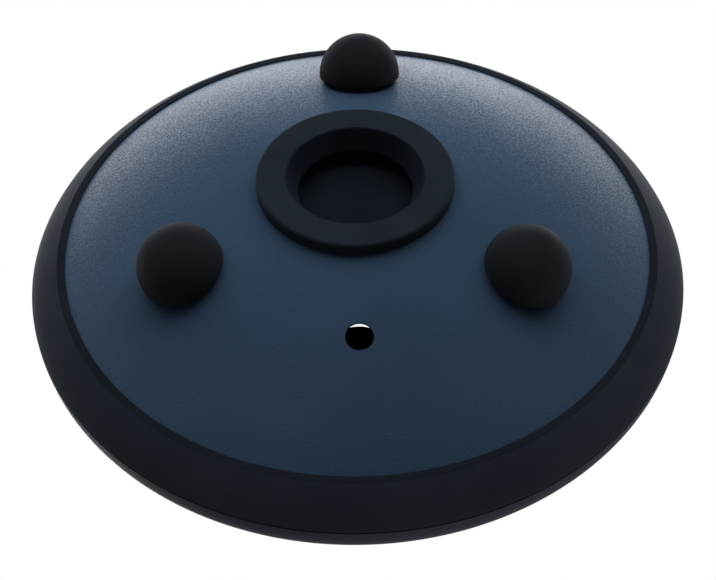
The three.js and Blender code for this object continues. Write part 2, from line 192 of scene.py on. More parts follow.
def makeRubber(name):
    tones = rubberLook[name]
    look, nodes, links, shader = newLook(name)
    place = nodes.new("ShaderNodeTexCoord")
    cloud = noiseNode(nodes, links, place, rubberLook["cloudScale"], detail=4.0, rough=0.6)
    grain = noiseNode(nodes, links, place, rubberLook["grainScale"])
    patches = spread(nodes, links, cloud, *noiseSpan, 0.0, 1.0)
    tone = mixColours(nodes, links, patches, tones["deep"], tones["pale"])
    cells = nodes.new("ShaderNodeTexVoronoi")  # a few specks of dust
    cells.inputs["Scale"].default_value = rubberLook["dustScale"]
    links.new(place.outputs["Object"], cells.inputs["Vector"])
    speck = spread(nodes, links, cells.outputs["Distance"], *rubberLook["speckEdge"], 1.0, 0.0)
    split = nodes.new("ShaderNodeSeparateColor")
    links.new(cells.outputs["Color"], split.inputs["Color"])
    draw = split.outputs["Red"]
    chosen = spread(nodes, links, draw, *rubberLook["speckDraw"], 0.0, rubberLook["speckShare"])
    dust = nodes.new("ShaderNodeMath")
    dust.operation = "MULTIPLY"
    links.new(speck, dust.inputs[0])
    links.new(chosen, dust.inputs[1])
    tone = mixColours(nodes, links, dust.outputs["Value"], tone, rubberLook["dust"])
    links.new(tone, shader.inputs["Base Color"])
    roughness = spread(nodes, links, cloud, *noiseSpan, *rubberLook["roughness"])
    links.new(roughness, shader.inputs["Roughness"])
    bump = bumpNode(nodes, links, grain, rubberLook["grainStrength"], rubberLook["grainDepth"])
    links.new(bump, shader.inputs["Normal"])
    shader.inputs["Specular IOR Level"].default_value = rubberLook["gloss"]
    shader.inputs["Diffuse Roughness"].default_value = rubberLook["chalk"]
    shader.inputs["Sheen Weight"].default_value = tones.get("bloom", 0.0)
    shader.inputs["Sheen Roughness"].default_value = rubberLook["bloomSpread"]
    return look


metalLook = {
    "zincSteel": {"deep": (0.42, 0.43, 0.45), "pale": (0.62, 0.63, 0.65), "roughness": (0.25, 0.42)},
    "turnedBrass": {"deep": (0.45, 0.32, 0.12), "pale": (0.66, 0.50, 0.22), "roughness": (0.22, 0.38)},
    "cloudScale": 260.0,   # scales are per metre, depths in metres
    "brushScale": 2600.0,
    "brushDepth": 0.00003,
    "brushStrength": 0.15,
}


def makeMetal(name):
    recipe = metalLook[name]
    look, nodes, links, shader = newLook(name)
    place = nodes.new("ShaderNodeTexCoord")
    cloud = noiseNode(nodes, links, place, metalLook["cloudScale"], detail=4.0, rough=0.65)
    brushed = noiseNode(nodes, links, place, metalLook["brushScale"], detail=1.0)
    tone = mixColours(nodes, links, cloud, recipe["deep"], recipe["pale"])
    links.new(tone, shader.inputs["Base Color"])
    roughness = spread(nodes, links, cloud, *noiseSpan, *recipe["roughness"])
    links.new(roughness, shader.inputs["Roughness"])
    bump = bumpNode(nodes, links, brushed, metalLook["brushStrength"], metalLook["brushDepth"])
    links.new(bump, shader.inputs["Normal"])
    shader.inputs["Metallic"].default_value = 1.0
    return look


navyCoat = makeCoat()
bandRubber = makeRubber("bandRubber")
lipPaintedShade = makeRubber("lipPaintedShade")
collarRubber = makeRubber("collarRubber")
throatPaintedShade = makeRubber("throatPaintedShade")
plugPaintedShade = makeRubber("plugPaintedShade")
footRubber = makeRubber("footRubber")
zincSteel = makeMetal("zincSteel")
turnedBrass = makeMetal("turnedBrass")
print("materials made: navy powder coat, six tones of rubber, zinc-plated steel and brass")

tiny = 1e-6        # millimetres: points nearer than this count as one
mostCut = 0.49     # of a side, so that the roundings at its two ends never meet
edgeSteps = 3      # facets over the rounded edge of a hole or slot


# a mesh is gathered as points, a normal for each of them, and faces
def startMesh():
    return {"points": [], "normals": [], "faces": []}


def addPoint(mesh, point, normal):
    mesh["points"].append(Vector(point))
    mesh["normals"].append(Vector(normal).normalized())
    return len(mesh["points"]) - 1


# a face is turned to look the way its points' normals do
def addFace(mesh, corners):
    ring = [c for i, c in enumerate(corners) if c != corners[i - 1]]
    if len(ring) < 3:
        return
    a, b, c = (mesh["points"][i] for i in (ring[0], ring[1], ring[-1]))
    facing = (b - a).cross(c - a)
    wanted = sum((mesh["normals"][i] for i in ring), Vector())
    mesh["faces"].append(ring if facing.dot(wanted) > 0 else ring[::-1])


def stitch(mesh, lower, upper, closed):
    count = len(lower)
    for i in range(count if closed else count - 1):
        j = (i + 1) % count
        addFace(mesh, [lower[i], lower[j], upper[j], upper[i]])


# each ring is a list of (point, normal), and is joined to the one before it
def joinRings(mesh, rings, closed):
    last = None
    for ring in rings:
        indices = [addPoint(mesh, point, normal) for point, normal in ring]
        if last:
            stitch(mesh, last, indices, closed)
        last = indices


def unitRing(turns):
    angles = [2 * math.pi * k / turns for k in range(turns)]
    return [(math.cos(angle), math.sin(angle)) for angle in angles]


def finishMesh(name, mesh, look, nodeName, body="drum_body"):
    data = bpy.data.meshes.new(name)
    data.from_pydata([p * mm for p in mesh["points"]], [], mesh["faces"])
    data.polygons.foreach_set("use_smooth", [True] * len(data.polygons))
    data.normals_split_custom_set_from_vertices([tuple(n) for n in mesh["normals"]])
    data.materials.append(look)
    piece = bpy.data.objects.new(name, data)
    scene.collection.objects.link(piece)
    if body:
        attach(piece, body)
    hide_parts(nodeName)
    return piece


# an outline's corners are (radius, height, round): round None is sharp, 0 lies on a smooth curve
def softOutline(corners, closed=True, steps=5):
    flat = [Vector(c[:2]) for c in corners]
    count = len(flat)
    area = sum(flat[i - 1].x * flat[i].y - flat[i].x * flat[i - 1].y for i in range(count))
    if area < 0:
        corners, flat = corners[::-1], flat[::-1]
    rows = []
    for i, (here, bend) in enumerate(zip(flat, (c[2] for c in corners))):
        before, after = here - flat[i - 1], flat[(i + 1) % count] - here
        if not closed and i == 0:
            before = after
        if not closed and i == count - 1:
            after = before
        goIn, goOut = before.normalized(), after.normalized()
        outIn, outOut = Vector((goIn.y, -goIn.x)), Vector((goOut.y, -goOut.x))
        if bend is None:
            rows += [(here, outIn), (here, outOut)]
        elif bend == 0:
            rows.append((here, (outIn + outOut).normalized()))
        else:
            turn = math.atan2(goIn.cross(goOut), goIn.dot(goOut))
            cut = min(bend * math.tan(abs(turn) / 2), mostCut * before.length, mostCut * after.length)
            radius = cut / math.tan(abs(turn) / 2)
            side = math.copysign(1, turn)
            centre = here - goIn * cut - outIn * radius * side
            for k in range(steps + 1):
                out = Matrix.Rotation(turn * k / steps, 2) @ outIn
                rows.append((centre + out * radius * side, out))
    return rows


def lathe(mesh, rows, turns, closed=True, place=None):
    place = place or Matrix.Identity(4)
    spin = place.to_3x3()
    rings = []
    for point, out in rows:
        ring = []
        for c, s in unitRing(1 if abs(point.x) < tiny else turns):
            ring.append(addPoint(mesh, place @ Vector((point.x * c, point.x * s, point.y)),
                                 spin @ Vector((out.x * c, out.x * s, out.y))))
        rings.append(ring * turns if len(ring) == 1 else ring)
    for i in range(len(rows) if closed else len(rows) - 1):
        j = (i + 1) % len(rows)
        if (rows[i][0] - rows[j][0]).length > tiny:
            stitch(mesh, rings[i], rings[j], True)


def insideLoop(points, loop):
    x, y = points[:, 0], points[:, 1]
    inside = np.zeros(len(points), bool)
    for (ax, ay), (bx, by) in zip(loop, np.roll(loop, -1, axis=0)):
        if ay != by:
            crosses = (ay > y) != (by > y)
            inside ^= crosses & (x < (bx - ax) * (y - ay) / (by - ay) + ax)
    return inside


def nearLoop(points, loop, reach):
    close = np.zeros(len(points), bool)
    for a, b in zip(loop, np.roll(loop, -1, axis=0)):
        along = b - a
        t = np.clip(((points - a) @ along) / (along @ along), 0, 1)
        close |= np.hypot(*(points - a - t[:, None] * along).T) < reach
    return close


fillRule = {
    "edgeClear": 0.5,   # loose points keep this share of a step from the outer loop
    "holeClear": 0.4,   # and this one from a hole
    "merge": 1e-5,      # millimetres
}


# triangles between an outer loop and the holes in it, all in plan
def planFill(outer, holes, step):
    outerLoop, holeLoops = np.array(outer), [np.array(hole) for hole in holes]
    loose = []                # rings of points, every other one turned by half a step
    for i in range(int(np.abs(outerLoop).max() / step) + 1):
        radius = i * step
        count = max(1, round(2 * math.pi * radius / step))
        for k in range(count):
            angle = 2 * math.pi * (k + 0.5 * (i % 2)) / count
            loose.append((radius * math.cos(angle), radius * math.sin(angle)))
    loose = np.array(loose)
    keep = insideLoop(loose, outerLoop) & ~nearLoop(loose, outerLoop, step * fillRule["edgeClear"])
    for hole in holeLoops:
        keep &= ~insideLoop(loose, hole) & ~nearLoop(loose, hole, step * fillRule["holeClear"])
    points, edges = [], []
    for loop in [outer, *holes]:
        first = len(points)
        points += [tuple(p) for p in loop]
        edges += [(first + i, first + (i + 1) % len(loop)) for i in range(len(loop))]
    points += [tuple(p) for p in loose[keep]]
    made = delaunay_2d_cdt([Vector(p) for p in points], edges, [], 0, fillRule["merge"])
    spots, faces, origins = made[0], made[2], made[3]
    places = np.array([tuple(p) for p in spots])
    source = {}
    for index, originals in enumerate(origins):
        for original in originals:
            source[original] = index
    middles = np.array([places[list(f)].mean(axis=0) for f in faces])
    good = insideLoop(middles, outerLoop)
    for hole in holeLoops:
        good &= ~insideLoop(middles, hole)
    triangles = [tuple(f) for f, use in zip(faces, good) if use]
    return places, triangles, source


# the dome's curve and the rounded shoulder, from the height of the wall and the rise of the dome
def makeDish(wall, rise):
    lean, bend = drumShape["wallLean"], drumShape["shoulderRound"]
    corner = drumShape["rimRadius"] - wall * math.tan(lean)
    radius = (corner ** 2 + rise ** 2) / (2 * rise)
    middle = wall + rise - radius
    across = drumShape["rimRadius"] * math.cos(lean) - bend - middle * math.sin(lean)
    angle = math.asin(across / (radius - bend)) - lean
    shoulder = Vector(((radius - bend) * math.sin(angle), middle + (radius - bend) * math.cos(angle)))
    return {"radius": radius, "middle": middle, "angle": angle, "shoulder": shoulder}


def domeHeight(dish, r, grow=0.0):
    return dish["middle"] + math.sqrt((dish["radius"] + grow) ** 2 - r * r)


# rows of (point, outward normal) over the shoulder and down the wall, at a depth in the sheet
def shoulderRows(dish, grow, steps=6):
    lean, bend = drumShape["wallLean"], drumShape["shoulderRound"]
    rows = []
    for k in range(steps + 1):
        angle = dish["angle"] + (math.pi / 2 - lean - dish["angle"]) * k / steps
        out = Vector((math.sin(angle), math.cos(angle)))
        rows.append((dish["shoulder"] + out * (bend + grow), out))
    foot = drumShape["rimGap"] / 2
    edge = drumShape["rimRadius"] + grow / math.cos(lean) - foot * math.tan(lean)
    rows.append((Vector((edge, foot)), Vector((math.cos(lean), math.sin(lean)))))
    return rows


# one face of a dome in plan, facing 1 for the outside and -1 for the inside; gives its outer ring
def fillDome(mesh, dish, up, grow, facing, outer, holes, step):
    places, triangles, source = planFill(outer, holes, step)
    index = []
    for x, y in places:
        h = domeHeight(dish, math.hypot(x, y), grow)
        out = Vector((x, y, up * (h - dish["middle"])))
        index.append(addPoint(mesh, (x, y, rimHeight + up * h), out * facing))
    for triangle in triangles:
        addFace(mesh, [index[i] for i in triangle])
    return [index[source[k]] for k in range(len(outer))]


# holes: rings of points from the outside face to the inside one, each a list of ((x, y, height), normal)
def pressSheet(mesh, dish, up, holes):
    def lift(x, y, h):
        return Vector((x, y, rimHeight + up * h))

    circle = unitRing(drumShape["turns"])
    for grow, facing in ((0.0, 1), (-drumShape["sheet"], -1)):
        rows = shoulderRows(dish, grow)
        rim = [(rows[0][0].x * c, rows[0][0].x * s) for c, s in circle]
        loops = [hole["outside"] if facing > 0 else hole["inside"] for hole in holes]
        ring = fillDome(mesh, dish, up, grow, facing, rim, loops, drumShape["meshStep"])
        for point, normal in rows[1:]:
            nextRing = []
            for c, s in circle:
                out = Vector((normal.x * c, normal.x * s, up * normal.y))
                nextRing.append(addPoint(mesh, lift(point.x * c, point.x * s, point.y), out * facing))
            stitch(mesh, ring, nextRing, True)
            ring = nextRing
        if facing > 0:
            rimOut = [mesh["points"][i] for i in ring]
        else:
            down = Vector((0, 0, -up))
            stitch(mesh, [addPoint(mesh, p, down) for p in rimOut],
                   [addPoint(mesh, mesh["points"][i], down) for i in ring], True)
    for hole in holes:
        rings = [[(lift(*point), (*normal.xy, up * normal.z)) for point, normal in ring]
                 for ring in hole["rings"]]
        joinRings(mesh, rings, hole["closed"])


topDish = makeDish(**drumShape["top"])
bottomDish = makeDish(**drumShape["bottom"])

tongueShape = {
    "order": [0, 2, 4, 6, 7, 5, 3, 1],   # rank round the ring, longest first
    "firstAngle": 270.0,
    "pitch": 45.0,                       # degrees from one tongue of the ring to the next
    "rootCircle": 156.0,
    "tipCircle": (60.0, 3.0),            # longest tongue, and the step to the next rank
    "rootWidth": (62.0, -1.2),
    "tipWidth": (34.0, -0.5),
    "centre": {"angle": 270.0, "root": 35.0, "length": 56.0, "rootWidth": 46.0, "tipWidth": 40.0},
    "slot": 3.0,
    "slotEnd": 3.2,
    "edgeRound": 0.45,
    "endSteps": (14, 7),                 # facets round a slot's end, on the dish and on the tongue
    "sideSteps": 14,
    "tipSteps": 16,
    "rootSteps": 9,
    "meshStep": 6.0,
    "bendLength": 16.0,                  # of the root, where the tongue's mesh bends
}


def listTongues():
    found = []
    for i, rank in enumerate(tongueShape["order"]):
        tip, root = tongueShape["tipCircle"], tongueShape["rootCircle"]
        found.append({
            "node": f"tongue_{i + 1}", "piece": f"tongue{i + 1}",
            "angle": tongueShape["firstAngle"] + tongueShape["pitch"] * i,
            "root": root, "length": root - tip[0] - tip[1] * rank,
            "rootWidth": tongueShape["rootWidth"][0] + tongueShape["rootWidth"][1] * rank,
            "tipWidth": tongueShape["tipWidth"][0] + tongueShape["tipWidth"][1] * rank,
        })
    found.append({"node": "tongue_centre", "piece": "tongueCentre", **tongueShape["centre"]})
    return found


# the cut line beside a tongue, from one end of its root round the tip to the other end
def cutLine(tongue, edge, onDish):
    half, slot, root = tongue["tipWidth"] / 2, tongueShape["slot"], tongue["root"]
    tipMiddle = root - tongue["length"] + half
    taper = math.asin((tongue["rootWidth"] / 2 - half) / (root - tipMiddle))
    go, out = Vector((math.cos(taper), math.sin(taper))), Vector((-math.sin(taper), math.cos(taper)))
    centreLine = Vector((tipMiddle, 0)) + out * (half + slot / 2)
    end = centreLine + go * ((root - centreLine.x) / go.x)
    radius = tongueShape["slotEnd"] + edge
    across = (slot / 2 + edge) * (1 if onDish else -1)
    meet = end + out * across - go * math.sqrt(radius ** 2 - across ** 2)
    toMeet = math.atan2((meet - end).y, (meet - end).x) % (2 * math.pi)
    start = -math.pi / 2 if onDish else 1.5 * math.pi
    line = []
    endSteps = tongueShape["endSteps"][0 if onDish else 1]
    for k in range(endSteps):
        angle = start + (toMeet - start) * k / endSteps
        line.append(end + Vector((math.cos(angle), math.sin(angle))) * radius)
    tipRadius = half + (slot + edge if onDish else -edge)
    tangent = Vector((tipMiddle, 0)) + out * tipRadius
    sideSteps, tipSteps = tongueShape["sideSteps"], tongueShape["tipSteps"]
    line += [meet.lerp(tangent, k / sideSteps) for k in range(sideSteps)]
    for k in range(tipSteps + 1):
        angle = math.pi / 2 + taper + (math.pi / 2 - taper) * k / tipSteps
        line.append(Vector((tipMiddle, 0)) + Vector((math.cos(angle), math.sin(angle))) * tipRadius)
    return line + [Vector((p.x, -p.y)) for p in line[-2::-1]]


def turnPlan(points, degrees):
    turn = Matrix.Rotation(math.radians(degrees), 2)
    return [turn @ p for p in points]


# the rounded edge and the cut face along one side of a slot
def cutRings(tongue, onDish):
    bend, sheet, angle = tongueShape["edgeRound"], drumShape["sheet"], tongue["angle"]
    upper = turnPlan(cutLine(tongue, bend, onDish), angle)
    lower = turnPlan(cutLine(tongue, 0.0, onDish), angle)
    toSlot = [(b - a).normalized() for a, b in zip(upper, lower)]
    rings = []
    for k in range(edgeSteps + 1):
        beta = math.pi / 2 * k / edgeSteps
        line = turnPlan(cutLine(tongue, bend * (1 - math.sin(beta)), onDish), angle)
        ring = []
        for p, q, s in zip(line, upper, toSlot):
            h = domeHeight(topDish, p.length)
            dome = Vector((q.x, q.y, domeHeight(topDish, q.length) - topDish["middle"])).normalized()
            normal = dome * math.cos(beta) + Vector((s.x, s.y, 0)) * math.sin(beta)
            ring.append(((p.x, p.y, h - bend * (1 - math.cos(beta))), normal))
        rings.append(ring)
    rings.append([((p.x, p.y, domeHeight(topDish, p.length, -sheet)), Vector((s.x, s.y, 0)))
                  for p, s in zip(lower, toSlot)])
    return rings, upper, lower


# points along a tongue's root, between the two ends of its cut line
def rootLine(line):
    count = tongueShape["rootSteps"]
    return [line[-1].lerp(line[0], k / count) for k in range(1, count)]


def makeTopDish(tongues):
    holes = []
    for tongue in tongues:
        rings, upper, lower = cutRings(tongue, True)
        holes.append({"rings": rings, "closed": False,
                      "outside": [tuple(p) for p in upper + rootLine(upper)],
                      "inside": [tuple(p) for p in lower + rootLine(lower)]})
    mesh = startMesh()
    pressSheet(mesh, topDish, 1, holes)
    finishMesh("topDish", mesh, navyCoat, "top_shell")


def makeTongue(tongue):
    mesh = startMesh()
    rings, upper, lower = cutRings(tongue, False)
    for line, grow, facing in ((upper, 0.0, 1), (lower, -drumShape["sheet"], -1)):
        loop = [tuple(p) for p in line + rootLine(line)]
        fillDome(mesh, topDish, 1, grow, facing, loop, [], tongueShape["meshStep"])
    rings = [[((x, y, rimHeight + h), normal) for (x, y, h), normal in ring] for ring in rings]
    joinRings(mesh, rings, False)
    piece = finishMesh(tongue["piece"], mesh, navyCoat, tongue["node"], None)
    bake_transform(piece)


tongues = listTongues()
makeTopDish(tongues)
for tongue in tongues:
    makeTongue(tongue)
print("top dish and", len(tongues), "tongues made")

# the vent, the feet and the port set the holes in the bottom dish too
ventShape = {"circle": 107.5, "radius": 8.0, "angle": 267.7, "edgeRound": 0.45, "steps": 48}
footShape = {
    "circle": 114.0,
    "angles": (90.0, 210.0, 330.0),
    "radius": 25.5,
    "rise": 3.7,               # of the ball's middle over the dish
    "undercut": (2.4, 3.0),    # depth and height of the step at the base
    "stepShare": 0.8,          # of that height, up to the inner corner of the step
    "stepRound": (0.3, 0.5),
    "skirtRound": 0.4,
    "seatGap": 0.3,
    "seatReach": 21.0,
    "seatSteps": 4,
    "holeRadius": 6.2,
    "holeDepth": 15.4,
    "screwHole": 3.3,
    "screwHoleRound": 0.1,
    "screwHoleSteps": 16,
    "domeSteps": 40,
    "turns": 72,
}
portShape = {
    "hole": 46.0,
    "collarRadius": 58.4,
    "collarEdge": 7.8,
    "edgeRound": 1.9,
    "skirtRound": 0.4,
    "mouthRadius": 40.4,
    "mouthRound": 1.3,
    "mouthShadeReach": 0.9,          # the throat's painted shade reaches this far over the mouth's edge
    "throatRadius": 34.0,
    "throatDepth": 12.5,
    "throatLip": 2.0,
    "throatRound": (0.5, 0.6),
    "flangeReach": 6.0,
    "flangeThickness": 3.5,
    "sleeveWall": 4.0,
    "innerRound": 0.6,
    "plugRadius": 37.5,
    "plugDepth": 23.0,
    "plugThickness": 3.0,
    "plugRound": (0.8, 0.3),   # at its face and at its back
    "ledgeWidth": 4.0,
    "ledgeThickness": 3.0,
    "gap": 0.3,
    "turns": 144,
}
footTilt = math.asin(footShape["circle"] / (bottomDish["radius"] + footShape["rise"]))


def openHole(rings):
    return {"rings": rings, "closed": True,
            "outside": [p[:2] for p, n in rings[0]], "inside": [p[:2] for p, n in rings[-1]]}


# a round hole square to the dish
def roundHole(radius, tilt, angle, edge, steps):
    dish, sheet = bottomDish, drumShape["sheet"]
    turn = Matrix.Rotation(math.radians(angle), 3, "Z") @ Matrix.Rotation(tilt, 3, "Y")

    def ring(r, grow, drop, beta):
        made = []
        for c, s in unitRing(steps):
            ball = dish["radius"] + grow
            local = Vector((r * c, r * s, math.sqrt(ball * ball - r * r) - drop))
            normal = Vector((0, 0, 1)) * math.cos(beta) - Vector((c, s, 0)) * math.sin(beta)
            spot = turn @ local
            made.append(((spot.x, spot.y, spot.z + dish["middle"]), turn @ normal))
        return made

    rings = []
    for k in range(edgeSteps + 1):
        beta = math.pi / 2 * k / edgeSteps
        rings.append(ring(radius + edge * (1 - math.sin(beta)), 0.0, edge * (1 - math.cos(beta)), beta))
    rings.append(ring(radius, -sheet, 0.0, math.pi / 2))
    return openHole(rings)


def makeBottomDish():
    vent, foot, port = ventShape, footShape, portShape["hole"]
    ventTilt = math.asin(vent["circle"] / bottomDish["radius"])
    holes = [roundHole(vent["radius"], ventTilt, vent["angle"], vent["edgeRound"], vent["steps"])]
    for angle in foot["angles"]:
        edge, steps = foot["screwHoleRound"], foot["screwHoleSteps"]
        holes.append(roundHole(foot["screwHole"], footTilt, angle, edge, steps))
    rings = []
    for grow in (0.0, -drumShape["sheet"]):
        height = domeHeight(bottomDish, port, grow)
        rings.append([((port * c, port * s, height), Vector((-c, -s, 0)))
                      for c, s in unitRing(drumShape["turns"] // 2)])
    holes.append(openHole(rings))
    mesh = startMesh()
    pressSheet(mesh, bottomDish, -1, holes)
    finishMesh("bottomDish", mesh, navyCoat, "bottom_shell")


makeBottomDish()
print("bottom dish made")

bandShape = {
    "wall": 6.0,
    "lipReach": 6.4,
    "lipRise": 0.9,
    "lipWidth": 4.7,
    "lipFall": 0.7,
    "lowerHandle": (4.0, 10.5),   # of a face's curve: in from the outside, and down from the lip's top
    "upperHandle": (0.2, 0.2),
    "faceRound": 0.3,
    "partingHalf": 0.6,
    "partingDepth": 0.8,
    "partingRound": 0.2,
    "seatGap": 0.3,
    "crease": (0.8, 0.12),        # width and depth of the fine line beside the lip
    "creaseRound": (0.2, 0.15),
    "edgeRound": 0.3,
    "faceSteps": 26,
    "turns": 384,
}


def lipRadius(dish):
    dome = dish["shoulder"].x + drumShape["shoulderRound"] * math.sin(dish["angle"])
    return dome - bandShape["lipReach"]


def bandHalf(dish, handle):
    shape = bandShape
    lipStart = lipRadius(dish)
    lipTop = domeHeight(dish, lipStart) + shape["lipRise"]
    outside = drumShape["rimRadius"] + shape["wall"]
    edge = Vector((lipStart + shape["lipWidth"], lipTop - shape["lipFall"]))
    grip = Vector((outside - handle[0], lipTop - handle[1]))
    end = Vector((outside, shape["partingHalf"]))
    width, depth = shape["crease"]
    brinkRound, bedRound = shape["creaseRound"]
    corners = [(lipStart, lipTop, shape["edgeRound"]),
               (edge.x - width, edge.y + shape["lipFall"] * width / shape["lipWidth"], brinkRound),
               (edge.x - width / 2, edge.y - depth, bedRound)]
    for k in range(shape["faceSteps"] + 1):
        t = k / shape["faceSteps"]
        p = edge * (1 - t) ** 2 + grip * 2 * t * (1 - t) + end * t * t
        corners.append((p.x, p.y, shape["faceRound"] if k in (0, shape["faceSteps"]) else 0))
    seat = [(lipStart, domeHeight(dish, lipStart, shape["seatGap"]), None)]
    for point, normal in shoulderRows(dish, shape["seatGap"])[:-1]:
        seat.append((point.x, point.y, 0))
    return corners, seat


def makeBand():
    upper, upperSeat = bandHalf(topDish, bandShape["upperHandle"])
    lower, lowerSeat = bandHalf(bottomDish, bandShape["lowerHandle"])
    outside = drumShape["rimRadius"] + bandShape["wall"]
    seatFoot = drumShape["rimRadius"] + bandShape["seatGap"] / math.cos(drumShape["wallLean"])
    corners = [(r, rimHeight + h, b) for r, h, b in upper]
    corners.append((outside - bandShape["partingDepth"], rimHeight, bandShape["partingRound"]))
    corners += [(r, rimHeight - h, b) for r, h, b in reversed(lower)]
    corners += [(r, rimHeight - h, b) for r, h, b in lowerSeat]
    corners.append((seatFoot, rimHeight, None))
    corners += [(r, rimHeight + h, b) for r, h, b in reversed(upperSeat)]
    mesh = startMesh()
    lathe(mesh, softOutline(corners), bandShape["turns"])
    band = finishMesh("rimBand", mesh, bandRubber, "rim_band")
    band.data.materials.append(lipPaintedShade)
    for polygon in band.data.polygons:   # painted shade: the thin lips get a darker copy of the band's rubber, standing in for the shade along them
        dish = topDish if polygon.center.z > rimHeight * mm else bottomDish
        lipEdge = (lipRadius(dish) + bandShape["lipWidth"]) * mm
        polygon.material_index = 1 if polygon.center.xy.length < lipEdge else 0


makeBand()
print("rim band made")


def makePort():
    shape = portShape
    face = domeHeight(bottomDish, shape["collarRadius"]) + shape["collarEdge"]
    gap, inside = shape["gap"], -drumShape["sheet"] - shape["gap"]
    sleeve = shape["plugRadius"] + gap
    neck, flange = shape["hole"] - gap, shape["hole"] + shape["flangeReach"]
    flangeTop = domeHeight(bottomDish, flange, inside)
    ledge = face - shape["plugDepth"] - shape["plugThickness"] - gap
    lip = face - shape["throatDepth"] - shape["throatLip"]
    lipRound, throatRound = shape["throatRound"]
    corners = [
        (shape["mouthRadius"], face, shape["mouthRound"]),
        (shape["collarRadius"], face, shape["edgeRound"]),
        (shape["collarRadius"], domeHeight(bottomDish, shape["collarRadius"], gap), shape["skirtRound"]),
        (neck, domeHeight(bottomDish, neck, gap), None),
        (neck, domeHeight(bottomDish, neck, inside), None),
        (flange, flangeTop, None),
        (flange, flangeTop - shape["flangeThickness"], shape["innerRound"]),
        (sleeve + shape["sleeveWall"], flangeTop - shape["flangeThickness"], None),
        (sleeve + shape["sleeveWall"], ledge - shape["ledgeThickness"], shape["innerRound"]),
        (sleeve - shape["ledgeWidth"], ledge - shape["ledgeThickness"], shape["innerRound"]),
        (sleeve - shape["ledgeWidth"], ledge, None),
        (sleeve, ledge, None),
        (sleeve, lip, None),
        (shape["throatRadius"], lip, lipRound),
        (shape["throatRadius"], face - shape["throatDepth"], throatRound),
    ]
    mesh = startMesh()
    lathe(mesh, softOutline([(r, rimHeight - h, b) for r, h, b in corners]), shape["turns"])
    collar = finishMesh("portCollar", mesh, collarRubber, "port_collar")
    collar.data.materials.append(throatPaintedShade)
    throatShadeEdge = (shape["mouthRadius"] + shape["mouthShadeReach"]) * mm
    for polygon in collar.data.polygons:   # painted shade: the funnel and its edge get a darker copy of the collar's rubber, standing in for the shade down the throat
        polygon.material_index = 1 if polygon.center.xy.length < throatShadeEdge else 0
    plugFace = face - shape["plugDepth"]
    plugBack = plugFace - shape["plugThickness"]
    faceRound, backRound = shape["plugRound"]
    corners = [
        (0.0, plugFace, 0),
        (shape["plugRadius"], plugFace, faceRound),
        (shape["plugRadius"], plugBack, backRound),
        (0.0, plugBack, 0),
    ]
    mesh = startMesh()
    outline = softOutline([(r, rimHeight - h, b) for r, h, b in corners], closed=False)
    lathe(mesh, outline, shape["turns"], closed=False)
    # the plug gets the darker rubber that paints the shade at the bottom of the port
    finishMesh("portPlug", mesh, plugPaintedShade, "port_plug")


makePort()
print("port collar and plug made")


def makeFoot(number, angle):
    shape, ball, hole = footShape, bottomDish["radius"], footShape["holeRadius"]

    def seat(r):
        return math.sqrt((ball + shape["seatGap"]) ** 2 - r * r) - ball

    corners = [(0.0, shape["holeDepth"], 0), (hole, shape["holeDepth"], None), (hole, seat(hole), None)]
    for k in range(1, shape["seatSteps"] + 1):
        r = hole + (shape["seatReach"] - hole) * k / shape["seatSteps"]
        corners.append((r, seat(r), 0))
    depth, height = shape["undercut"]
    waist = shape["radius"] - depth
    baseRound, innerRound = shape["stepRound"]
    corners.append((waist, seat(waist), baseRound))
    corners.append((waist, seat(waist) + height * shape["stepShare"], innerRound))
    baseAngle = math.acos((seat(shape["radius"]) - shape["rise"]) / shape["radius"])
    baseAngle -= height / shape["radius"]
    for k in range(shape["domeSteps"] + 1):
        a = baseAngle * (1 - k / shape["domeSteps"])
        corners.append((shape["radius"] * math.sin(a), shape["rise"] + shape["radius"] * math.cos(a),
                        shape["skirtRound"] if k == 0 else 0))
    station = Matrix.Rotation(math.radians(angle), 4, "Z") @ Matrix.Translation(
        (ball * math.sin(footTilt), 0, rimHeight - bottomDish["middle"] - ball * math.cos(footTilt)))
    station = station @ Matrix.Rotation(math.pi - footTilt, 4, "Y")
    mesh = startMesh()
    lathe(mesh, softOutline(corners, closed=False), shape["turns"], closed=False, place=station)
    for point in mesh["points"]:
        point.z = max(point.z, 0.0)   # the flat that it rests on
    finishMesh(f"foot{number}", mesh, footRubber, f"foot_{number}")


for number, angle in enumerate(footShape["angles"], 1):
    makeFoot(number, angle)
print("feet made")

# the fixings inside keep their solids
fixingLook = {"insert": turnedBrass, "screw": zincSteel, "washer": zincSteel}
for name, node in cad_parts.items():
    for word, look in fixingLook.items():
        if word in name:
            node.data.materials.clear()
            node.data.materials.append(look)
print("fixings inside given their metals")

stageLook = {
    "floor": (0.94, 0.94, 0.935),
    "floorFleck": (0.91, 0.91, 0.905),
    "cloudScale": 2.5,       # per metre
    "roughness": 0.9,
    "gloss": 0.1,
    "floorSize": 4.0,
    "drop": 0.0003,          # the floor lies just clear of the feet
    "fade": (0.8, 1.7),      # the floor melts into the white air between these distances
}


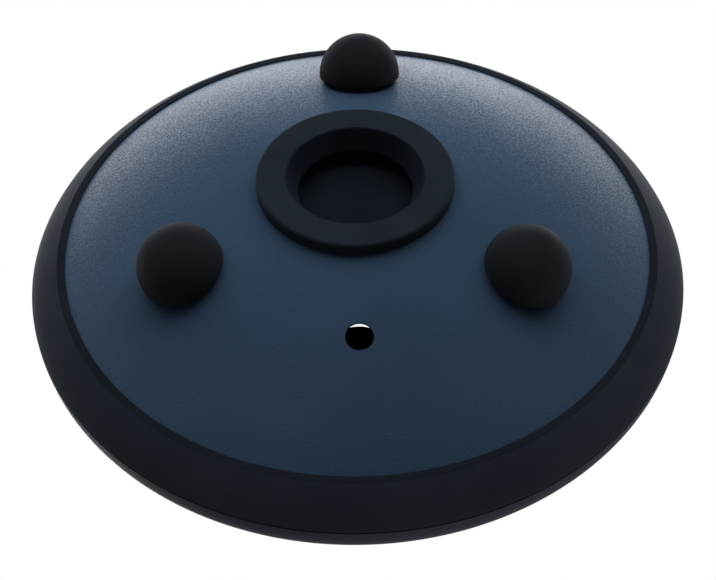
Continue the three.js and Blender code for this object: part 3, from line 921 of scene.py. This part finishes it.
# pale from above; from below, where the main view looks up at the drum, it lets light and sight through
def makeFloor():
    look, nodes, links, shader = newLook("paleFloor")
    place = nodes.new("ShaderNodeTexCoord")
    cloud = noiseNode(nodes, links, place, stageLook["cloudScale"], detail=3.0)
    tone = mixColours(nodes, links, cloud, stageLook["floor"], stageLook["floorFleck"])
    links.new(tone, shader.inputs["Base Color"])
    shader.inputs["Roughness"].default_value = stageLook["roughness"]
    shader.inputs["Specular IOR Level"].default_value = stageLook["gloss"]
    side = nodes.new("ShaderNodeNewGeometry")
    clear = nodes.new("ShaderNodeBsdfTransparent")
    mix = nodes.new("ShaderNodeMixShader")
    away = nodes.new("ShaderNodeVectorMath")
    away.operation = "LENGTH"
    links.new(place.outputs["Object"], away.inputs[0])
    near, far = stageLook["fade"]
    melt = nodes.new("ShaderNodeMapRange")
    melt.interpolation_type = "SMOOTHSTEP"
    melt.inputs["From Min"].default_value = near
    melt.inputs["From Max"].default_value = far
    links.new(away.outputs["Value"], melt.inputs["Value"])
    either = nodes.new("ShaderNodeMath")
    either.operation = "MAXIMUM"
    links.new(side.outputs["Backfacing"], either.inputs[0])
    links.new(melt.outputs["Result"], either.inputs[1])
    links.new(either.outputs["Value"], mix.inputs["Fac"])
    links.new(shader.outputs["BSDF"], mix.inputs[1])
    links.new(clear.outputs["BSDF"], mix.inputs[2])
    links.new(mix.outputs["Shader"], nodes["Material Output"].inputs["Surface"])
    half, low = stageLook["floorSize"] / 2, -stageLook["drop"]
    corners = [(-half, -half, low), (half, -half, low), (half, half, low), (-half, half, low)]
    data = bpy.data.meshes.new("floor")
    data.from_pydata(corners, [], [(0, 1, 2, 3)])
    data.materials.append(look)
    floor = bpy.data.objects.new("floor", data)
    scene.collection.objects.link(floor)
    floor.visible_shadow = False    # lamps under the floor reach the drum
    floor.visible_diffuse = False   # and the floor throws no light up at it


lampPlan = {
    "lowBack": {"at": (0.0, 2.4, 0.48), "size": (5.0, 0.8), "power": 46.0, "shine": True},
    "underBack": {"at": (0.0, 1.60, -1.80), "size": (4.6, 3.2), "power": 196.0, "shine": False},
    "lowLeft": {"at": (2.4, -0.2, 0.50), "size": (1.8, 0.6), "power": 6.0, "shine": True},
    "lowRight": {"at": (-2.4, -0.2, 0.50), "size": (1.8, 0.6), "power": 9.0, "shine": True},
    "overKey": {"at": (-0.9, -1.9, 1.7), "size": (1.8, 1.8), "power": 50.0, "shine": True},
    "overFill": {"at": (1.6, 0.9, 1.8), "size": (2.0, 2.0), "power": 22.0, "shine": True},
}
lampAim = (0.0, 0.0, 0.08)


def makeLamps():
    for name, plan in lampPlan.items():
        lamp = bpy.data.lights.new(name, "AREA")
        lamp.shape = "RECTANGLE"
        lamp.size, lamp.size_y = plan["size"]
        lamp.energy = plan["power"]
        lamp.cycles.use_multiple_importance_sampling = False   # or the floor takes a share of the light
        holder = bpy.data.objects.new(name, lamp)
        holder.location = plan["at"]
        towards = Vector(lampAim) - Vector(plan["at"])
        holder.rotation_euler = towards.to_track_quat("-Z", "Y").to_euler()
        holder.visible_glossy = plan["shine"]   # one without shine only fills, and doesn't show in the coat
        scene.collection.objects.link(holder)


airLook = {
    "colour": (1.0, 1.0, 1.0),
    "strength": 0.16,
    "backdrop": (1.0, 1.0, 1.0),   # where the air itself is seen
    "backdropStrength": 1.0,
}


def makeAir():
    world = bpy.data.worlds.new("studioAir")
    scene.world = world
    world.use_nodes = True
    nodes, links = world.node_tree.nodes, world.node_tree.links
    light = nodes["Background"]
    light.inputs["Color"].default_value = (*airLook["colour"], 1.0)
    light.inputs["Strength"].default_value = airLook["strength"]
    white = nodes.new("ShaderNodeBackground")
    white.inputs["Color"].default_value = (*airLook["backdrop"], 1.0)
    white.inputs["Strength"].default_value = airLook["backdropStrength"]
    path = nodes.new("ShaderNodeLightPath")
    seen = path.outputs["Is Camera Ray"]
    for name in ("Is Glossy Ray", "Is Transmission Ray"):
        either = nodes.new("ShaderNodeMath")
        either.operation = "MAXIMUM"
        links.new(seen, either.inputs[0])
        links.new(path.outputs[name], either.inputs[1])
        seen = either.outputs["Value"]
    mix = nodes.new("ShaderNodeMixShader")
    links.new(seen, mix.inputs["Fac"])
    links.new(light.outputs["Background"], mix.inputs[1])
    links.new(white.outputs["Background"], mix.inputs[2])
    links.new(mix.outputs["Shader"], nodes["World Output"].inputs["Surface"])


makeFloor()
makeLamps()
makeAir()
print("floor, lamps and air made")

# the camera is below the floor, looking up at the underside
cameraPlan = {
    "middle": (0.0, 0.0, 85.986),   # point that the view turns about
    "distance": 995.91,
    "elevation": 46.912,            # degrees under the floor's plane
    "azimuth": -2.060,
    "roll": -1.261,
    "focal": 1600.5,                # in pixels, as are the next two
    "shift": (-0.85, -22.69),       # of the drum in the frame
    "frameWidth": 716,
    "sensor": 36.0,                 # millimetres
    "clip": (0.01, 50.0),           # metres
}


def makeCamera():
    plan = cameraPlan
    around, under, roll = (math.radians(plan[k]) for k in ("azimuth", "elevation", "roll"))
    right = Vector((-math.cos(around), -math.sin(around), 0))
    up = Vector((-math.sin(around) * math.sin(under), math.cos(around) * math.sin(under), -math.cos(under)))
    ahead = up.cross(right)
    rolledRight = right * math.cos(roll) + up * math.sin(roll)
    rolledUp = up * math.cos(roll) - right * math.sin(roll)
    data = bpy.data.cameras.new("camera")
    data.sensor_width = plan["sensor"]
    data.lens = plan["focal"] / plan["frameWidth"] * data.sensor_width
    data.shift_x = -plan["shift"][0] / plan["frameWidth"]
    data.shift_y = plan["shift"][1] / plan["frameWidth"]
    data.clip_start, data.clip_end = plan["clip"]
    camera = bpy.data.objects.new("camera", data)
    axes = Matrix((rolledRight, rolledUp, -ahead)).transposed().to_4x4()
    place = (Vector(plan["middle"]) - ahead * plan["distance"]) * mm
    camera.matrix_world = Matrix.Translation(place) @ axes
    scene.collection.objects.link(camera)
    scene.camera = camera


makeCamera()
scene.view_settings.view_transform = "Standard"
print("camera set")
